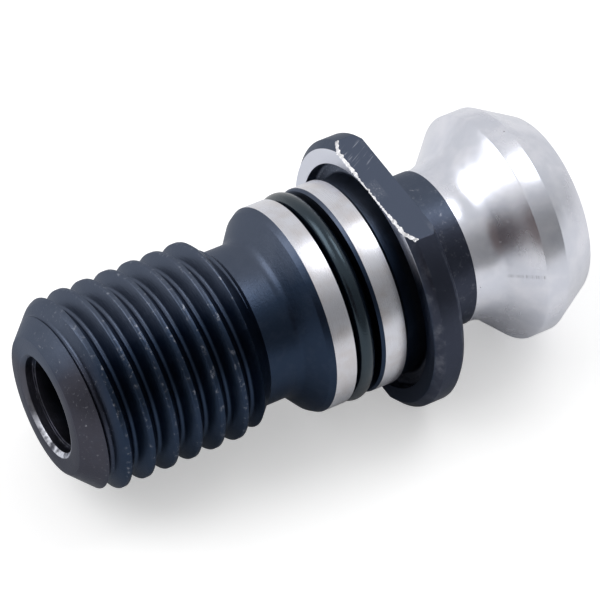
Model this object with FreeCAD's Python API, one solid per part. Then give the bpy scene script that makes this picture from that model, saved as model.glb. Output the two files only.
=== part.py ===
import FreeCAD, Part
import math
import os

# Pull stud, M16 with a 45 degree grip face, as turned from bar and ground.
# Millimetres. The axis is along X: thread end first, head last, wrench flats facing +Z and -Z.
# Each section is a length from the one before it, so a change moves all that follow.

# threaded shank
THREAD_D = 16.0              # nominal, M16
CREST_CUT = 0.1              # crests stand this far under the nominal radius
PITCH = 2.0
FLANK_DEG = 30.0             # each flank to the normal
ROOT_FLAT = PITCH / 6        # width of the groove's bottom
THREAD_LEN = 16.0            # thread end to relief neck
END_FACE_D = 11.2
LEAD_DEG = 45.0
LEAD_R = 1.5                 # worn round where the lead meets the crests
RUNOUT_DEG = 45.0
GROOVE_LEAD = 1.45           # the thread groove starts this far before the end face

# relief neck between the thread and the pilot
RELIEF_D = 12.8
RELIEF_R = 1.1
RELIEF_LEN = 4.6
SHOULDER_DEG = 50.0
SHOULDER_EDGE_LEN = 0.5      # bevel from the shoulder up to the ground band
SHOULDER_EDGE_RISE = 0.3

# pilot: two ground bands with the O-ring groove between them
PILOT_D = 17.0
BAND_A_LEN = 1.8
GROOVE_LEN = 2.25
GROOVE_EDGE = 0.3            # unground bevel on the groove's far side
BAND_B_LEN = 1.85
PILOT_END_LEN = 1.2          # undercut from the second band to the seat
PILOT_END_DEPTH = 0.25
RING_CORD = 1.5
RING_PROUD = 0.15            # above the ground bands
RING_SQUEEZE = 0.03          # flat where the ring sits on the groove floor
RING_GAP = 0.3               # from the groove's thread side wall

# flange, with a recess round the pilot in its seat face
FLANGE_D = 22.4
FLANGE_THK = 2.5
ACROSS_FLATS = 19.0
SEAT_BEVEL = 0.6
BACK_BEVEL = 0.35
RECESS_D = 18.8
RECESS_DEPTH = 1.0

# collar, ground neck and head
COLLAR_D = 12.95
COLLAR_LEN = 3.95
NECK_D = 12.85
NECK_R = 3.0
SEAT_TO_GRIP = 11.15         # seat face to the top of the grip face
GRIP_DEG = 45.0
HEAD_D = 18.95
HEAD_LAND = 1.85
SEAT_TO_END = 16.4
HEAD_BEVEL_DEG = 30.0

# coolant bore
BORE_D = 7.1
MOUTH_D = 7.8
MOUTH_DEPTH = 0.95
MOUTH_BEVEL = 0.3
BORE_EDGE = 0.5              # bevel at the head end

# places along the axis, from the thread end
RELIEF_X = THREAD_LEN
BAND_A_X = RELIEF_X + RELIEF_LEN
GROOVE_X = BAND_A_X + BAND_A_LEN
GROOVE_END_X = GROOVE_X + GROOVE_LEN
BAND_B_X = GROOVE_END_X + GROOVE_EDGE
PILOT_END_X = BAND_B_X + BAND_B_LEN
SEAT_X = PILOT_END_X + PILOT_END_LEN
FLANGE_END_X = SEAT_X + FLANGE_THK
COLLAR_END_X = FLANGE_END_X + COLLAR_LEN
GRIP_X = SEAT_X + SEAT_TO_GRIP
HEAD_BEVEL_X = GRIP_X + HEAD_LAND
END_X = SEAT_X + SEAT_TO_END
GROOVE_FLOOR_R = PILOT_D / 2 + RING_PROUD + RING_SQUEEZE - RING_CORD
CLEAR = 1.0                  # how far cutters run past what they cut


def rise(length, degrees):
    """Radius gained over a length by a cone at this angle to the axis."""
    return length * math.tan(math.radians(degrees))


def run(height, degrees):
    """Length taken by a cone at this angle to the axis to gain this radius."""
    return height / math.tan(math.radians(degrees))


def outline(corners):
    """Closed wire through (x, radius, corner radius) points in the XZ plane."""
    points = [FreeCAD.Vector(x, 0, radius) for x, radius, _ in corners]
    first = start = None
    edges = []
    for i, (point, corner) in enumerate(zip(points, corners)):
        round_r = corner[2]
        back = (points[i - 1] - point).normalize()
        on = (points[(i + 1) % len(points)] - point).normalize()
        half = back.getAngle(on) / 2
        reach = round_r / math.tan(half)
        arrive, leave = point + back * reach, point + on * reach
        if start:
            edges.append(Part.makeLine(start, arrive))
        if round_r:
            inward = (back + on).normalize()
            middle = point + inward * (round_r / math.sin(half) - round_r)
            edges.append(Part.Arc(arrive, middle, leave).toShape())
        first, start = first or arrive, leave
    edges.append(Part.makeLine(start, first))
    return Part.Wire(edges)


def turned(corners):
    """Solid turned about X from its half outline."""
    face = Part.Face(outline(corners))
    return face.revolve(FreeCAD.Vector(0, 0, 0), FreeCAD.Vector(1, 0, 0), 360)


def blank():
    """The stud as turned and ground, before its thread, flats and bore."""
    thread_r, relief_r, pilot_r = THREAD_D / 2 - CREST_CUT, RELIEF_D / 2, PILOT_D / 2
    under_r = pilot_r - PILOT_END_DEPTH
    flange_r, collar_r, neck_r, head_r = FLANGE_D / 2, COLLAR_D / 2, NECK_D / 2, HEAD_D / 2
    lead_x = run(thread_r - END_FACE_D / 2, LEAD_DEG)
    runout_x = RELIEF_X - run(thread_r - relief_r, RUNOUT_DEG)
    edge_x = BAND_A_X - SHOULDER_EDGE_LEN
    edge_r = pilot_r - SHOULDER_EDGE_RISE
    shoulder_x = edge_x - run(edge_r - relief_r, SHOULDER_DEG)
    floor_x = SEAT_X + RECESS_DEPTH
    grip_foot_x = GRIP_X - run(head_r - neck_r, GRIP_DEG)
    end_r = head_r - rise(END_X - HEAD_BEVEL_X, HEAD_BEVEL_DEG)
    return turned([
        (0, 0, 0), (0, END_FACE_D / 2, 0),
        (lead_x, thread_r, LEAD_R), (runout_x, thread_r, 0), (RELIEF_X, relief_r, 0),
        (shoulder_x, relief_r, RELIEF_R), (edge_x, edge_r, 0), (BAND_A_X, pilot_r, 0),
        (GROOVE_X, pilot_r, 0), (GROOVE_X, GROOVE_FLOOR_R, 0),
        (GROOVE_END_X, GROOVE_FLOOR_R, 0), (GROOVE_END_X, pilot_r - GROOVE_EDGE / 2, 0),
        (BAND_B_X, pilot_r, 0), (PILOT_END_X, pilot_r, 0),
        (PILOT_END_X + PILOT_END_DEPTH, under_r, 0), (floor_x, under_r, 0),
        (floor_x, RECESS_D / 2, 0), (SEAT_X, RECESS_D / 2, 0),
        (SEAT_X, flange_r - SEAT_BEVEL, 0), (SEAT_X + SEAT_BEVEL, flange_r, 0),
        (FLANGE_END_X - BACK_BEVEL, flange_r, 0), (FLANGE_END_X, flange_r - BACK_BEVEL, 0),
        (FLANGE_END_X, collar_r, 0), (COLLAR_END_X, collar_r, 0), (COLLAR_END_X, neck_r, 0),
        (grip_foot_x, neck_r, NECK_R), (GRIP_X, head_r, 0), (HEAD_BEVEL_X, head_r, 0),
        (END_X, end_r, 0), (END_X, 0, 0),
    ])


def thread_groove():
    """Right-hand helical V groove, run out into the relief neck."""
    outer_r = THREAD_D / 2
    half_top = (PITCH - PITCH / 8) / 2
    half_root = ROOT_FLAT / 2
    root_r = outer_r - run(half_top - half_root, FLANK_DEG)
    section = Part.makePolygon([FreeCAD.Vector(outer_r, 0, -half_top),
                                FreeCAD.Vector(root_r, 0, -half_root),
                                FreeCAD.Vector(root_r, 0, half_root),
                                FreeCAD.Vector(outer_r, 0, half_top),
                                FreeCAD.Vector(outer_r, 0, -half_top)])
    length = GROOVE_LEAD + THREAD_LEN + PITCH / 2
    helix = Part.makeLongHelix(PITCH, length, outer_r, 0)
    sweep = Part.BRepOffsetAPI.MakePipeShell(Part.Wire(helix.Edges))
    sweep.setFrenetMode(True)
    sweep.add(section)
    sweep.build()
    sweep.makeSolid()
    groove = sweep.shape()
    groove.rotate(FreeCAD.Vector(0, 0, 0), FreeCAD.Vector(0, 1, 0), 90)
    groove.translate(FreeCAD.Vector(-GROOVE_LEAD, 0, 0))
    return groove


def beyond_flats():
    """What the two wrench flats cut off the flange."""
    reach = FLANGE_D / 2 + CLEAR
    length = FLANGE_THK + 2 * CLEAR
    slab = Part.makeBox(length, 2 * reach, reach - ACROSS_FLATS / 2,
                        FreeCAD.Vector(SEAT_X - CLEAR, -reach, ACROSS_FLATS / 2))
    lower = slab.mirror(FreeCAD.Vector(0, 0, 0), FreeCAD.Vector(0, 0, 1))
    return slab.fuse(lower)


def bore():
    """Coolant bore with its stepped, bevelled mouth in the thread end."""
    mouth_r, bore_r = MOUTH_D / 2, BORE_D / 2
    return turned([
        (-CLEAR, 0, 0), (-CLEAR, mouth_r + MOUTH_BEVEL, 0), (0, mouth_r + MOUTH_BEVEL, 0),
        (MOUTH_BEVEL, mouth_r, 0), (MOUTH_DEPTH, mouth_r, 0), (MOUTH_DEPTH, bore_r, 0),
        (END_X - BORE_EDGE, bore_r, 0), (END_X, bore_r + BORE_EDGE, 0),
        (END_X + CLEAR, bore_r + BORE_EDGE, 0), (END_X + CLEAR, 0, 0),
    ])


def stud_body():
    """The whole stud: one piece of steel."""
    return blank().cut(thread_groove()).cut(beyond_flats()).cut(bore()).removeSplitter()


def o_ring():
    """Cord ring stretched onto the groove floor, where it sits slightly flattened."""
    cord_r = RING_CORD / 2
    x = GROOVE_X + RING_GAP + cord_r
    centre_r = GROOVE_FLOOR_R + cord_r - RING_SQUEEZE
    half_flat = math.sqrt(cord_r ** 2 - (cord_r - RING_SQUEEZE) ** 2)
    a = FreeCAD.Vector(x - half_flat, 0, GROOVE_FLOOR_R)
    b = FreeCAD.Vector(x + half_flat, 0, GROOVE_FLOOR_R)
    top = FreeCAD.Vector(x, 0, centre_r + cord_r)
    section = Part.Face(Part.Wire([Part.Arc(a, top, b).toShape(), Part.makeLine(b, a)]))
    return section.revolve(FreeCAD.Vector(0, 0, 0), FreeCAD.Vector(1, 0, 0), 360)


def save(shape, node):
    """Centre the part along X, stand it on its lower flat and write its STEP."""
    shape.translate(FreeCAD.Vector(-END_X / 2, 0, ACROSS_FLATS / 2))
    solid = shape.Solids[0]
    assert len(shape.Solids) == 1 and solid.isValid() and solid.isClosed(), node
    solid.exportStep("parts/" + node + ".step")
    print(node, round(solid.Volume, 1), "mm3")


os.makedirs("parts", exist_ok=True)
save(stud_body(), "stud_body")
save(o_ring(), "o_ring")
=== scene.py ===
import math
import random

import bmesh
import bpy
from mathutils import Matrix, Vector, noise


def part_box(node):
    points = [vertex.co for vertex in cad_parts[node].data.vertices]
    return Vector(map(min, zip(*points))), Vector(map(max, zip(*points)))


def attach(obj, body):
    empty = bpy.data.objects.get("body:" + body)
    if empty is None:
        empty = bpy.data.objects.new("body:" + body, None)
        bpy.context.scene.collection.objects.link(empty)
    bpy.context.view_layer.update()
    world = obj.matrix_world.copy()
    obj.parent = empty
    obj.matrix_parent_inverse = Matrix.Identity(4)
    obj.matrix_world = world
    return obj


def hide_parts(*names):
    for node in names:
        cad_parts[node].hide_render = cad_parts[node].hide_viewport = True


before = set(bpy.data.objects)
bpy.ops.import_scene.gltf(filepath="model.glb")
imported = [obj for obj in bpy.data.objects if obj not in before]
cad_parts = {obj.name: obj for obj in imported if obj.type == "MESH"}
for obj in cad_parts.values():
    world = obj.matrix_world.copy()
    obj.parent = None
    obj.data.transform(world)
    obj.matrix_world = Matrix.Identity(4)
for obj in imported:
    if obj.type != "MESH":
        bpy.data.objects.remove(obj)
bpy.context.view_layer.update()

# ---------------------------------------------------------------- finishes of the steel
# The stud is blackened all over after it is turned, threaded and milled. The two pilot bands, the
# seat and the head are then ground bright, and use has rubbed and chipped the black off edges.
# The black is painted lighter along the top and greyer on the lead cone, both painted light, and greyer on
# the flange.

MM = 0.001
low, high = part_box("stud_body")
axis_z = (low.z + high.z) / 2
face_x = low.x                                # the thread's end face


class Num:
    """A shader value. An expression on it adds the Math nodes it needs."""

    def __init__(self, finish, socket):
        self.finish, self.socket = finish, socket

    def math(self, operation, *values):
        settings = {"operation": operation}
        return Num(self.finish, self.finish.node("Math", settings, dict(enumerate(values)))[0])

    def __add__(self, other): return self.math("ADD", self, other)
    def __radd__(self, other): return self.math("ADD", other, self)
    def __sub__(self, other): return self.math("SUBTRACT", self, other)
    def __rsub__(self, other): return self.math("SUBTRACT", other, self)
    def __mul__(self, other): return self.math("MULTIPLY", self, other)
    def __rmul__(self, other): return self.math("MULTIPLY", other, self)
    def __truediv__(self, other): return self.math("DIVIDE", self, other)
    def __pow__(self, other): return self.math("POWER", self, other)
    def at_least(self, other): return self.math("MAXIMUM", self, other)

    def between(self, start, end):
        """0 up to start, 1 from end on, and smooth in between."""
        return Num(self.finish, self.finish.node("MapRange", {"interpolation_type": "SMOOTHSTEP"},
                                                 {0: self, 1: start, 2: end})[0])

    def inside(self, start, end, soft):
        """1 from start to end, falling to 0 over soft outside them."""
        return self.between(start - soft, start) * (1 - self.between(end, end + soft))


class Finish:
    """A node material in the making, with the stud's own coordinates in millimetres."""

    def __init__(self, name):
        self.material = bpy.data.materials.new(name)
        self.material.use_nodes = True
        self.tree = self.material.node_tree
        self.shader = self.tree.nodes["Principled BSDF"]
        self.here = self.node("TexCoord", {}, {})["Object"]
        x, y, z = self.node("SeparateXYZ", {}, {0: self.here})
        self.along = (Num(self, x) - face_x) / MM
        self.y = Num(self, y) / MM
        self.z = (Num(self, z) - axis_z) / MM
        self.radius = (self.y * self.y + self.z * self.z) ** 0.5

    def node(self, kind, settings, inputs):
        """Adds a node: its settings first, then the values or links of its sockets."""
        made = self.tree.nodes.new("ShaderNode" + kind)
        for key, value in settings.items():
            setattr(made, key, value)
        for key, value in inputs.items():
            self.feed(made.inputs[key], value)
        return made.outputs

    def feed(self, socket, value):
        value = value.socket if isinstance(value, Num) else value
        if isinstance(value, bpy.types.NodeSocket):
            self.tree.links.new(value, socket)
        else:
            socket.default_value = value

    def set(self, **sockets):
        for key, value in sockets.items():
            self.feed(self.shader.inputs[key.replace("_", " ")], value)

    def vector(self, x, y, z):
        return self.node("CombineXYZ", {}, {0: x, 1: y, 2: z})[0]

    def around(self, along_scale, round_scale):
        """Coordinates for marks that run round the stud, as a lathe or a grinding wheel leaves."""
        out = self.radius.at_least(0.1)
        return self.vector((self.along + self.radius * 0.7) * along_scale,
                           self.y / out * round_scale, self.z / out * round_scale)

    def cloud(self, vector, scale, detail=2.0, roughness=0.5):
        return Num(self, self.node("TexNoise", {}, {"Vector": vector, "Scale": scale, "Detail": detail,
                                                    "Roughness": roughness})[0])

    def spots(self, vector, scale, size):
        """Round specks of varied size, 1 at their middle."""
        made = self.node("TexVoronoi", {"feature": "F1"}, {"Vector": vector, "Scale": scale})
        return 1 - Num(self, made[0]).between(size * 0.5, size)

    def blend(self, share, first, second):
        """Colour first where share is 0 and second where it is 1."""
        return self.node("Mix", {"data_type": "RGBA"}, {0: share, 6: first, 7: second})[2]

    def relief(self, height, depth, over=None):
        """Normal of a surface that rises by height times depth, in millimetres."""
        inputs = {"Height": height, "Distance": depth * MM, "Strength": 1.0}
        if over:
            inputs["Normal"] = over
        return self.node("Bump", {}, inputs)[0]


def in_mm(finish):
    return finish.vector(finish.along, finish.y, finish.z)


black = Finish("black_oxide")
place = in_mm(black)
lathe = black.cloud(black.around(9.0, 1.2), 1.0, 3.0)
mottle = black.cloud(place, 0.9, 4.0, 0.6)
grit = black.cloud(place, 6.0, 3.0, 0.6)
# Painted light: a mask of the stud's upper side, where the black is painted lighter and a little rougher.
painted_lit_top = ((black.y * 0.5 + black.z * 0.87) / black.radius).between(0.45, 1.0)
near_side = ((black.z * -0.5 - black.y * 0.87) / black.radius).between(-0.7, 1.0)
# Painted light on the lead end: the black is painted greyer and lighter there; the flange is greyer too.
painted_lit_end_grey_flange = 1 - black.along.between(1.2, 2.8) + black.along.between(27.8, 28.2) * 0.55

# where the black is worn through, by place, and where the seat is painted bare on its upper side only, as
# painted light
crest_wear = (black.along.inside(1.0, 15.2, 0.3) * black.radius.between(7.66, 7.88)
              * black.cloud(place, 2.4, 3.0, 0.65).between(0.50, 0.72))
lead_wear = (black.along.inside(0.2, 2.2, 0.3) * black.radius.inside(5.8, 7.9, 0.2)
             * black.cloud(place, 3.4, 4.0, 0.7).between(0.56, 0.76))
mouth_wear = (black.along.inside(-1, 0.3, 0.06) * black.radius.inside(3.7, 4.22, 0.05)
              * (0.12 + mottle.between(0.3, 0.6) * near_side * 0.9))
step_wear = (black.along.inside(0.8, 1.0, 0.1) * black.radius.inside(3.6, 3.9, 0.05)
             * mottle.between(0.45, 0.7))
rim_wear = ((black.along.inside(28.05, 28.6, 0.2) + black.along.inside(30.1, 30.5, 0.1))
            * black.radius.between(10.3, 10.7) * mottle.between(0.4, 0.75))
recess_wear = (black.along.inside(28.1, 29.1, 0.1) * black.radius.inside(8.4, 9.5, 0.1)
               * (0.10 + grit.between(0.5, 0.75) * 0.3))
# Painted light: the ground seat is bare bright steel only where it faces up and back; below, it is left
# black as painted shade.
seat_turn = (black.y * 0.64 + black.z * 0.77) / black.radius
seat_bare_painted_light = (black.along.inside(27.9, 28.02, 0.03) * black.radius.between(9.2, 9.4)
             * seat_turn.between(-0.1, 0.45))
collar_wear = (black.along.inside(31.0, 34.3, 0.8) * black.radius.inside(6.3, 6.6, 0.1)
               * black.cloud(place, 1.6, 5.0, 0.75).between(0.5, 0.8))
specks = black.spots(place, 0.8, 0.07) * grit.between(0.5, 0.65)
wear_and_painted_seat_light = (crest_wear * 0.3 + lead_wear * 0.35 + mouth_wear + step_wear * 0.4 + rim_wear * 0.16
        + collar_wear * 0.4 + seat_bare_painted_light + specks * 0.14 + recess_wear)
bare = wear_and_painted_seat_light.between(0.0, 1.0)

# the milled flats, and the cutter's chatter on them
milled = (black.z * black.z).between(9.485 ** 2, 9.495 ** 2) * black.along.inside(28.0, 30.5, 0.05)
stroke = black.vector((black.y - black.along * 0.55) * 4.2, (black.along + black.y * 0.55) * 0.35, 0)
chatter = (black.y.inside(2.2, 5.0, 0.5) * black.along.inside(28.5, 30.1, 0.3)
           * black.cloud(stroke, 1.0).between(0.56, 0.68))

# Painted shade and light: the black is darker on the sides away from the top and lighter along the top.
painted_shade_side_black = black.blend(painted_lit_end_grey_flange * (1 - painted_lit_top), (0.024, 0.038, 0.068, 1), (0.062, 0.062, 0.080, 1))
turned_black_painted_light = black.blend(painted_lit_top + mottle.between(0.3, 0.7) * 0.16 - 0.08, painted_shade_side_black, (0.088, 0.106, 0.148, 1))
milled_black = black.blend(chatter * 0.6, (0.093, 0.112, 0.16, 1), (0.36, 0.38, 0.45, 1))
black.set(
    Base_Color=black.blend(bare, black.blend(milled, turned_black_painted_light, milled_black), (0.80, 0.82, 0.90, 1)),
    Metallic=1.0,
    Roughness=0.24 + mottle * 0.12 + grit * 0.06 + painted_lit_top * 0.06,
    Specular_Tint=(0.62, 0.64, 0.68, 1),
    Normal=black.relief(grit, 0.012, black.relief(lathe, 0.006)),
)

band = Finish("ground_band")
wheel = band.cloud(band.around(34.0, 3.0), 1.0, 3.0, 0.6)
stain = band.cloud(in_mm(band), 0.55, 3.0)
band.set(
    Base_Color=band.blend(stain.between(0.35, 0.7), (0.72, 0.73, 0.79, 1), (0.64, 0.62, 0.64, 1)),
    Metallic=1.0,
    Roughness=0.22 + wheel * 0.14,
    Normal=band.relief(wheel, 0.0035),
)

head = Finish("ground_head")
wheel = head.cloud(head.around(26.0, 2.2), 1.0, 3.0, 0.6)
smear = head.cloud(head.around(0.5, 1.6), 1.0, 4.0, 0.6)
pits = head.spots(in_mm(head), 0.62, 0.05)
dent = (head.along.inside(36.8, 39.0, 0.1) * (head.y * 0.292 + head.z * 0.956).inside(-0.1, 0.1, 0.12)
        * head.y.between(0, -1) * head.cloud(head.vector(head.along * 9.0, 0, 0), 1.0).between(0.3, 0.7))
handling = head.cloud(head.vector(head.along * 0.35, head.y * 0.5, head.z * 0.5), 1.0, 5.0, 0.6)
bright = head.blend(handling.between(0.35, 0.65), (0.70, 0.72, 0.80, 1), (0.80, 0.81, 0.88, 1))
head.set(
    Base_Color=head.blend((pits + dent * 0.45).between(0.0, 1.0), bright, (0.10, 0.09, 0.10, 1)),
    Metallic=1.0,
    Roughness=0.17 + smear * 0.12 + handling * 0.06 + pits * 0.4,
    Normal=head.relief(pits, -0.02, head.relief(wheel, 0.0034)),
)

chip = Finish("chipped_edge")
crumbs = chip.cloud(in_mm(chip), 7.0, 4.0, 0.7)
chip.set(Base_Color=chip.blend(crumbs, (0.75, 0.75, 0.78, 1), (0.95, 0.95, 0.97, 1)), Metallic=0.7,
         Roughness=0.35 + crumbs * 0.2, Normal=chip.relief(crumbs, 0.05))

# ---------------------------------------------------------------- stud: turned from bar
# One bar of case-hardening steel on a lathe, with the grip head at one end and the threaded shank
# at the other. The outline is the lathe's own, and every corner carries its tool radius or break.

length = (high.x - low.x) / MM                # thread end to head end
across_flats = (high.z - low.z) / MM
ROUND_STEPS = 288                             # round the axis

crest_r, face_r, relief_r, pilot_r = 7.9, 5.6, 6.4, 8.5
thread_end, band_a_start, groove_start, groove_end = 16.0, 20.6, 22.4, 24.65
band_b_start, band_b_end, seat, flange_end = 24.95, 26.8, 28.0, 30.5
collar_end, grip_edge, bevel_start = 34.45, 39.15, 41.0
groove_floor_r, under_r, recess_r, recess_floor = 7.18, 8.25, 9.4, 29.0
flange_r, collar_r, neck_r, head_r = 11.2, 6.475, 6.425, 9.475
mouth_r, mouth_depth, bore_r = 3.9, 0.95, 3.55
head_end_r = head_r - (length - bevel_start) * math.tan(math.radians(30))
shoulder_foot = band_a_start - 0.5 - (pilot_r - 0.3 - relief_r) / math.tan(math.radians(50))

BLACK, BAND, HEAD, CHIP = range(4)
steel = [black.material, band.material, head.material, chip.material]

# along the axis, radius, the corner's own radius, and the finish of the run that follows it
outline = [
    (length, bore_r + 0.5, 0.08, BLACK), (length - 0.5, bore_r, 0.05, BLACK),
    (mouth_depth, bore_r, 0.06, BLACK), (mouth_depth, mouth_r, 0.05, BLACK),
    (0.3, mouth_r, 0.05, BLACK), (0.0, mouth_r + 0.3, 0.06, BLACK),
    (0.0, face_r, 0.15, BLACK), (crest_r - face_r, crest_r, 1.5, BLACK),
    (thread_end - (crest_r - relief_r), crest_r, 0.05, BLACK), (thread_end, relief_r, 0.12, BLACK),
    (shoulder_foot, relief_r, 1.1, BLACK), (band_a_start - 0.5, pilot_r - 0.3, 0.08, BLACK),
    (band_a_start, pilot_r, 0.05, BAND), (groove_start, pilot_r, 0.06, BLACK),
    (groove_start, groove_floor_r, 0.2, BLACK), (groove_end, groove_floor_r, 0.2, BLACK),
    (groove_end, pilot_r - 0.15, 0.04, BLACK), (band_b_start, pilot_r, 0.05, BAND),
    (band_b_end, pilot_r, 0.05, BLACK), (band_b_end + 0.25, under_r, 0.08, BLACK),
    (recess_floor, under_r, 0.3, BLACK), (recess_floor, recess_r, 0.3, BLACK),
    (seat, recess_r, 0.04, BLACK), (seat, flange_r - 0.6, 0.06, BLACK),
    (seat + 0.6, flange_r, 0.12, BLACK), (flange_end - 0.35, flange_r, 0.1, BLACK),
    (flange_end, flange_r - 0.35, 0.08, BLACK), (flange_end, collar_r, 0.15, BLACK),
    (collar_end, collar_r, 0.03, BLACK), (collar_end, neck_r, 0.0, HEAD),
    (grip_edge - (head_r - neck_r), neck_r, 3.0, HEAD), (grip_edge, head_r, 0.12, HEAD),
    (bevel_start, head_r, 0.15, HEAD), (length, head_end_r, 0.4, HEAD),
]


def rounded(corners):
    """The outline with its corners turned to their radii: (along, radius, finish) points."""
    points = []
    for i, (x, r, corner_r, finish) in enumerate(corners):
        here = Vector((x, r))
        back = (Vector(corners[i - 1][:2]) - here).normalized()
        on = (Vector(corners[(i + 1) % len(corners)][:2]) - here).normalized()
        half = back.angle(on) / 2
        if corner_r == 0:
            points.append((x, r, finish))
            continue
        centre = here + (back + on).normalized() * corner_r / math.sin(half)
        first = here + back * (corner_r / math.tan(half)) - centre
        last = here + on * (corner_r / math.tan(half)) - centre
        sweep = math.pi - 2 * half
        turn = math.copysign(sweep, first.x * last.y - first.y * last.x)
        steps = max(2, math.ceil(sweep / math.radians(9 if corner_r > 0.5 else 24)))
        for k in range(steps + 1):
            spoke = first.copy()
            spoke.rotate(Matrix.Rotation(turn * k / steps, 2))
            points.append((centre.x + spoke.x, centre.y + spoke.y, finish))
    return points


def with_short_runs(points, longest):
    """The same outline with its long straight runs divided."""
    out = []
    for i, (x, r, finish) in enumerate(points):
        next_x, next_r, _ = points[(i + 1) % len(points)]
        parts = max(1, round(math.hypot(next_x - x, next_r - r) / longest))
        out += [(x + (next_x - x) * k / parts, r + (next_r - r) * k / parts, finish)
                for k in range(parts)]
    return out


def solid(name, verts, faces, finishes=None):
    """A closed mesh that faces outward, in millimetres from the thread's end, in the steel's finishes."""
    mesh = bpy.data.meshes.new(name)
    mesh.from_pydata(verts, [], faces)
    for material in steel:
        mesh.materials.append(material)
    mesh.polygons.foreach_set("material_index", finishes or [BLACK] * len(faces))
    bm = bmesh.new()
    bm.from_mesh(mesh)
    bmesh.ops.recalc_face_normals(bm, faces=bm.faces)
    if bm.calc_volume(signed=True) < 0:
        bmesh.ops.reverse_faces(bm, faces=bm.faces)
    bm.to_mesh(mesh)
    bm.free()
    obj = bpy.data.objects.new(name, mesh)
    bpy.context.scene.collection.objects.link(obj)
    return obj


def turned(points, name):
    """Solid turned about the axis from (along, radius, finish) points."""
    turns = [2 * math.pi * k / ROUND_STEPS for k in range(ROUND_STEPS)]
    verts = [(x, r * math.cos(a), r * math.sin(a)) for x, r, _ in points for a in turns]
    faces, finishes = [], []
    for i, (_, _, finish) in enumerate(points):
        here, there = i * ROUND_STEPS, (i + 1) % len(points) * ROUND_STEPS
        for k in range(ROUND_STEPS):
            n = (k + 1) % ROUND_STEPS
            faces.append((here + k, here + n, there + n, there + k))
            finishes.append(finish)
    return solid(name, verts, faces, finishes)


stud = turned(with_short_runs(rounded(outline), 1.2), "stud")

# ---------------------------------------------------------------- stud: the thread
# M16 x 2, right hand, cut with a single-point tool that starts off the end face and runs out
# into the relief neck. The groove is a closed bar along its helix, taken out of the blank.

PITCH = 2.0
TURN_STEPS = 256
crest_at = 0.05                               # a crest's place along the axis where it passes +Y
groove_from, groove_to = -2.3, thread_end + 0.6
slope = math.tan(math.radians(30))            # each flank leans this much
root_r = 0.29
minor_r = 8.0 - 17 / 24 * PITCH * math.sqrt(3) / 2

# half the groove's section: distance from its middle, radius
half_section = [(root_r * math.sin(math.radians(a)), minor_r + root_r * (1 - math.cos(math.radians(a))))
                for a in (0, 20, 40, 60)]
edge = half_section[-1][0] + (crest_r - half_section[-1][1]) * slope
half_section += [(edge - 0.035, crest_r - 0.061), (edge - 0.006, crest_r - 0.03),
                 (edge + 0.03, crest_r - 0.004), (edge + 0.07, crest_r + 0.02), (PITCH / 2 - 0.03, 8.45)]


def helical_bar(half, start, end):
    """The thread's groove as a closed bar."""
    section = [(-offset, r) for offset, r in reversed(half[1:])] + half
    wide, count = len(section), round((end - start) / PITCH * TURN_STEPS)
    verts, faces = [], []
    for m in range(count + 1):
        x = start + PITCH * m / TURN_STEPS
        a = 2 * math.pi * ((x - crest_at) / PITCH - 0.5)
        verts += [(x + offset, r * math.cos(a), r * math.sin(a)) for offset, r in section]
    for m in range(count):
        for j in range(wide):
            n = (j + 1) % wide
            faces.append((m * wide + j, (m + 1) * wide + j, (m + 1) * wide + n, m * wide + n))
    faces.append(tuple(range(wide)))
    faces.append(tuple(count * wide + j for j in reversed(range(wide))))
    return solid("thread_groove", verts, faces)


def cut(target, tool):
    """Takes tool out of target and uses it up."""
    step = target.modifiers.new("cut", "BOOLEAN")
    step.operation, step.solver, step.object = "DIFFERENCE", "MANIFOLD", tool
    result = bpy.data.meshes.new_from_object(target.evaluated_get(bpy.context.evaluated_depsgraph_get()))
    target.modifiers.remove(step)
    target.data = result
    bpy.data.objects.remove(tool)


cut(stud, helical_bar(half_section, groove_from, groove_to))

# ---------------------------------------------------------------- stud: the wrench flats
# Two flats milled across the flange for a 19 mm spanner. They nearly meet the recess in the seat,
# so the thin edge that was left has crumbled to bright steel.

flat = across_flats / 2
for side in (1, -1):
    corners = [(x, y, z) for x in (seat - 1, flange_end + 1) for y in (-15, 15)
               for z in (side * flat, side * (flat + 5))]
    sides = [(0, 1, 3, 2), (4, 6, 7, 5), (0, 4, 5, 1), (2, 3, 7, 6), (0, 2, 6, 4), (1, 5, 7, 3)]
    cut(stud, solid("slab", corners, sides))

random.seed(11)
half_flat = math.sqrt(flange_r ** 2 - flat ** 2)


def seat_edge(y):
    """Where the flat meets the seat or its bevel, along the axis."""
    return seat + max(0.0, math.hypot(y, flat) - (flange_r - 0.6))


def crumbled(side):
    """A ragged wedge along the flat's edge on the seat side and round its ends."""
    count = 84
    verts = []
    for k in range(count + 1):
        y = half_flat * (1 - 2 * k / count)
        edge_x = seat_edge(y)
        bite = 0.05 + 0.20 * max(0.0, noise.noise(Vector((y * 2.2, side * 5, 0)))) + random.uniform(0, 0.10)
        if y > 2.2 or y < -2.6:
            bite += 0.10
        drop = bite * random.uniform(0.5, 0.9)
        top = Vector((edge_x + bite, y, flat))
        foot = Vector((edge_x, y, flat - drop))
        reach = (top - foot) * 0.3
        for p in (top + reach, foot - reach, Vector((edge_x - 0.4, y, flat + 0.4))):
            verts.append((p.x, p.y * 1.01, side * p.z))
    faces = [(0, 1, 2), tuple(count * 3 + j for j in (2, 1, 0))]
    for k in range(count):
        for j in range(3):
            n = (j + 1) % 3
            faces.append((k * 3 + j, k * 3 + 3 + j, k * 3 + 3 + n, k * 3 + n))
    return solid("crumbled", verts, faces, [CHIP] * len(faces))


for side in (1, -1):
    cut(stud, crumbled(side))

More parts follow.
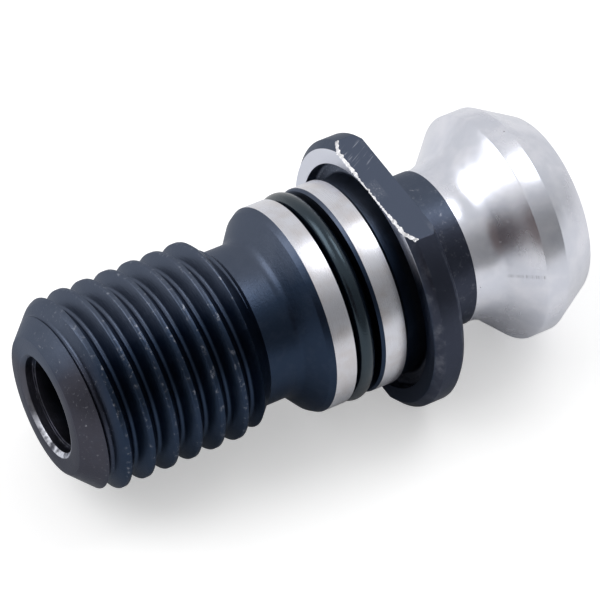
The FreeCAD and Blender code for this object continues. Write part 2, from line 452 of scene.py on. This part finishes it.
stud.data.transform(Matrix.Translation((face_x, 0, axis_z)) @ Matrix.Scale(MM, 4))
stud.data.shade_smooth()
stud.data.set_sharp_from_angle(angle=math.radians(32))
even = stud.modifiers.new("flat_faces_stay_flat", "WEIGHTED_NORMAL")
even.keep_sharp = True
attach(stud, "root")
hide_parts("stud_body")

# ---------------------------------------------------------------- O-ring
# A moulded nitrile ring, stretched into the groove between the bands, proud of them. Its cord is
# a little flat where it sits on the groove's floor.

ring_low, ring_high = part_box("o_ring")
cord_r = (ring_high.x - ring_low.x) / 2
ring_r = (ring_high.z - ring_low.z) / 2 - cord_r
CORD_STEPS = 40
rubber = Finish("nitrile")
dust = rubber.cloud(in_mm(rubber), 3.0, 4.0, 0.6)
rubber.set(
    Base_Color=rubber.blend(dust.between(0.4, 0.8), (0.0002, 0.001, 0.003, 1), (0.001, 0.003, 0.006, 1)),
    Roughness=0.17 + dust * 0.12,
    IOR=1.7,
    Specular_Tint=(0.60, 0.82, 1.0, 1),
    Normal=rubber.relief(rubber.cloud(in_mm(rubber), 8.0, 3.0), 0.006),
)
verts, faces = [], []
for m in range(ROUND_STEPS):
    a = 2 * math.pi * m / ROUND_STEPS
    for k in range(CORD_STEPS):
        b = 2 * math.pi * k / CORD_STEPS
        r = max(ring_r + cord_r * math.cos(b), groove_floor_r * MM)
        verts.append(((ring_low.x + ring_high.x) / 2 + cord_r * math.sin(b),
                      r * math.cos(a), axis_z + r * math.sin(a)))
        n, k_n = (m + 1) % ROUND_STEPS, (k + 1) % CORD_STEPS
        faces.append((m * CORD_STEPS + k, m * CORD_STEPS + k_n, n * CORD_STEPS + k_n, n * CORD_STEPS + k))
mesh = bpy.data.meshes.new("o_ring_cord")
mesh.from_pydata(verts, [], faces)
mesh.materials.append(rubber.material)
mesh.shade_smooth()
ring = bpy.data.objects.new("o_ring_cord", mesh)
bpy.context.scene.collection.objects.link(ring)
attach(ring, "root")
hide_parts("o_ring")

# ---------------------------------------------------------------- studio
# A white table in a light tent: open and bright behind and above, darker on the near side.

paper = Finish("white_table")
rays = paper.node("LightPath", {}, {})
camera_ray, glossy_ray = Num(paper, rays["Is Camera Ray"]), Num(paper, rays["Is Glossy Ray"])
clear_ray = Num(paper, rays["Is Transmission Ray"])
paper.set(Base_Color=(0.86, 0.86, 0.86, 1), Roughness=1.0, Emission_Color=(1, 1, 1, 1),
          Emission_Strength=camera_ray * 0.4 + glossy_ray * 0.02 + clear_ray * 0.4,
          Specular_IOR_Level=0.0)
bpy.ops.mesh.primitive_plane_add(size=6)
floor = bpy.context.object
floor.name = "floor"
floor.data.materials.append(paper.material)

world = bpy.data.worlds.new("light_tent")
bpy.context.scene.world = world
world.use_nodes = True
sky = world.node_tree
toward = sky.nodes.new("ShaderNodeTexCoord").outputs["Generated"]
split = sky.nodes.new("ShaderNodeSeparateXYZ")
sky.links.new(toward, split.inputs[0])
lean = sky.nodes.new("ShaderNodeMath")
lean.operation = "MULTIPLY_ADD"
lean.inputs[1].default_value = 0.6
sky.links.new(split.outputs["Z"], lean.inputs[0])
sky.links.new(split.outputs["Y"], lean.inputs[2])
ramp = sky.nodes.new("ShaderNodeMapRange")
ramp.interpolation_type = "SMOOTHSTEP"
for socket, value in zip(range(1, 5), (-0.45, 0.40, 0.27, 0.78)):
    ramp.inputs[socket].default_value = value
sky.links.new(lean.outputs[0], ramp.inputs[0])
sky.nodes["Background"].inputs["Color"].default_value = (1, 1, 1, 1)
sky.links.new(ramp.outputs[0], sky.nodes["Background"].inputs["Strength"])


def soft_box(name, azimuth, elevation, away, width, height, brightness):
    """A rectangular soft box that faces the stud, as bright as given where it is seen reflected."""
    lamp = bpy.data.lights.new(name, "AREA")
    lamp.shape, lamp.size, lamp.size_y = "RECTANGLE", width, height
    lamp.energy = brightness * math.pi * width * height
    obj = bpy.data.objects.new(name, lamp)
    a, e = math.radians(azimuth), math.radians(elevation)
    away_from = Vector((math.sin(a) * math.cos(e), math.cos(a) * math.cos(e), math.sin(e)))
    obj.location = away_from * away
    obj.rotation_euler = (-away_from).to_track_quat("-Z", "Y").to_euler()
    bpy.context.scene.collection.objects.link(obj)


soft_box("left_box", -62, 48, 0.8, 0.50, 0.50, 2.4)
soft_box("right_box", 85, 60, 0.8, 0.34, 0.34, 2.6)

# The near side's dark shape: a card beside the lens, dim and glowing faintly warm, that only shows in the
# steel: a painted reflection.
card = bpy.data.meshes.new("dark_card")
card.from_pydata([(0.22 * math.cos(a), 0.23 * math.sin(a), 0) for a in
                  [2 * math.pi * k / 32 for k in range(32)]], [], [tuple(range(32))])
reflection_card_glow = Finish("reflection_card_glow_finish")
across = reflection_card_glow.node("TexCoord", {}, {})["Generated"]
ball = reflection_card_glow.node("VectorMath", {"operation": "DISTANCE"}, {0: across, 1: (0.5, 0.5, 0.5)})
# Painted reflection: the card glows a dim warm colour, fading at its rim, and is seen only in reflections.
reflection_card_glow.set(Base_Color=(0.0, 0.0, 0.0, 1), Emission_Color=(0.085, 0.055, 0.052, 1), Emission_Strength=1.0,
         Alpha=1 - Num(reflection_card_glow, ball["Value"]).between(0.26, 0.5))
card.materials.append(reflection_card_glow.material)
flag = bpy.data.objects.new("dark_card", card)
bpy.context.scene.collection.objects.link(flag)
a, e = math.radians(-128), math.radians(22)
toward_card = Vector((math.sin(a) * math.cos(e), math.cos(a) * math.cos(e), math.sin(e)))
flag.location = toward_card * 0.5
flag.rotation_euler = toward_card.to_track_quat("Z", "Y").to_euler()
flag.visible_camera = flag.visible_transmission = flag.visible_diffuse = flag.visible_shadow = False

# ---------------------------------------------------------------- camera
# A long lens above the near side, looking down along the thread.

lens = bpy.data.cameras.new("camera")
camera = bpy.data.objects.new("camera", lens)
bpy.context.scene.collection.objects.link(camera)
right, up = Vector((0.86412, -0.50212, 0.03414)), Vector((0.35265, 0.65248, 0.67075))
back = right.cross(up)
at = Vector((-0.075828, -0.155026, 0.202651)) + Vector((face_x, 0, axis_z))
camera.matrix_world = Matrix.Translation(at) @ Matrix((right, up, back)).transposed().to_4x4()
lens.sensor_width = 36
lens.lens = 36 * 3514.7 / 600
lens.clip_start = 0.01
bpy.context.scene.camera = camera
bpy.context.scene.view_settings.view_transform = "Standard"
